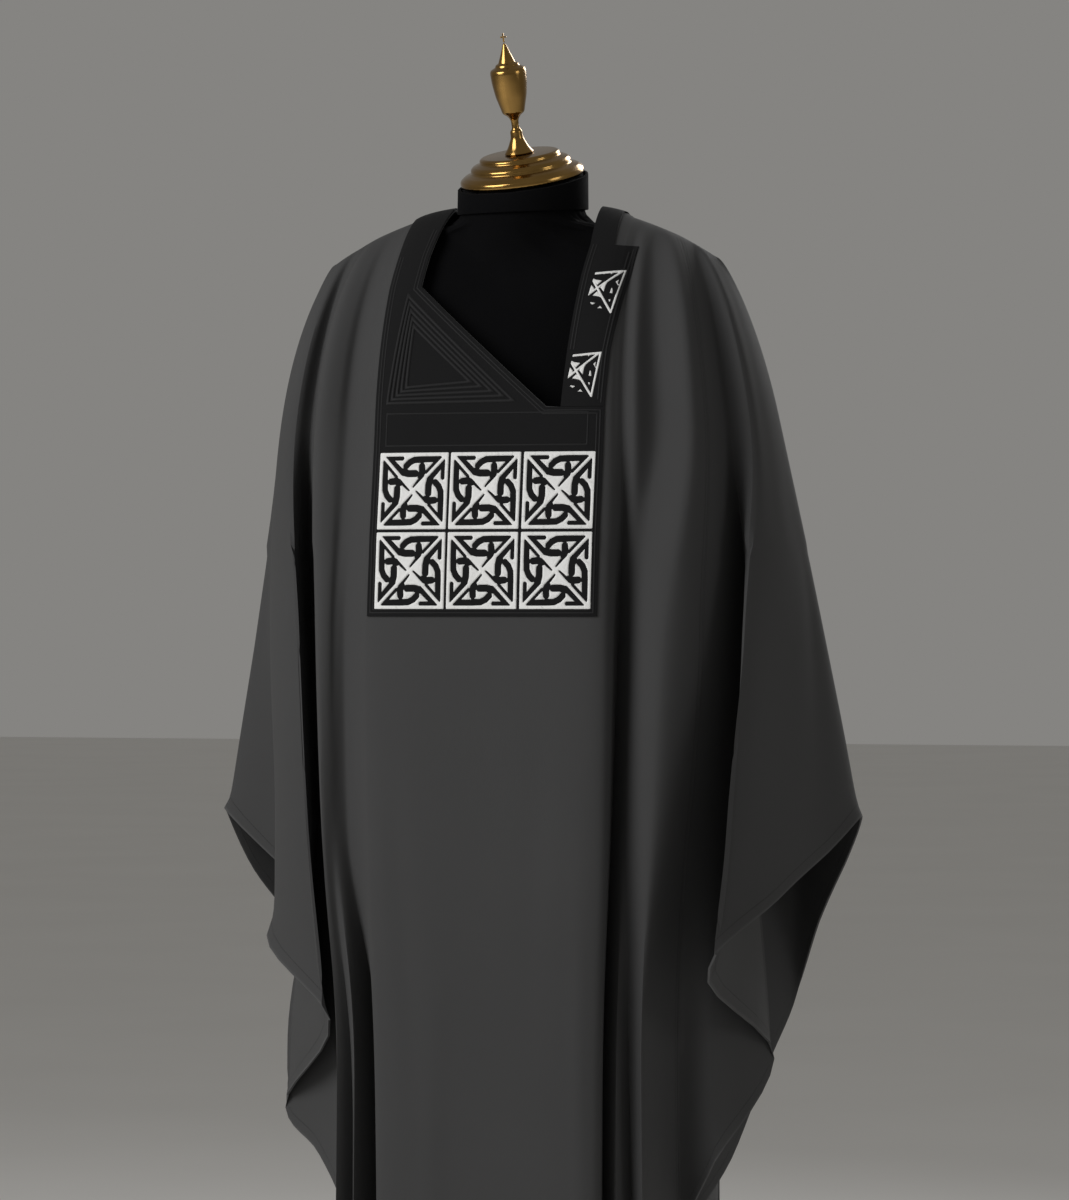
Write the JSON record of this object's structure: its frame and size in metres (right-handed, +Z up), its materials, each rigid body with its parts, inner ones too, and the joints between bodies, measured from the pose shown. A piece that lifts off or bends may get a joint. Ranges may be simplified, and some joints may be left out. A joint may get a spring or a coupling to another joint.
{
  "type": "grand boubou robe on a dress form",
  "caption": "Wide-sleeved grand boubou in dark cloth with a chest panel, hanging in deep folds on a limbless dress form with a turned finial and round foot.",
  "frame": {"origin": "centre of the underside of the stand's round foot", "axes": "+Z up along the stand, -Y out of the wearer's front, +X to the wearer's left"},
  "size_m": [0.6383, 0.38, 1.6651],
  "materials": {
    "charcoal_cloth": "matt woven cotton",
    "black_trim": "matt black woven cloth, quilted with stitching",
    "black_velvet": "velvet",
    "polished_brass": "polished",
    "black_enamel": "satin black"
  },
  "bodies": {
    "root": {"robe_front": "charcoal_cloth", "robe_back": "charcoal_cloth", "wing_left": "charcoal_cloth", "wing_right": "charcoal_cloth", "chest_panel": "black_trim", "chest_strap": "black_trim", "neck_band": "black_trim", "form_body": "black_velvet", "velvet_band": "black_velvet", "neck_cap": "polished_brass", "finial": "polished_brass", "finial_cross": "polished_brass", "stand_pole": "polished_brass", "stand_foot": "black_enamel"}
  },
  "joints": []
}
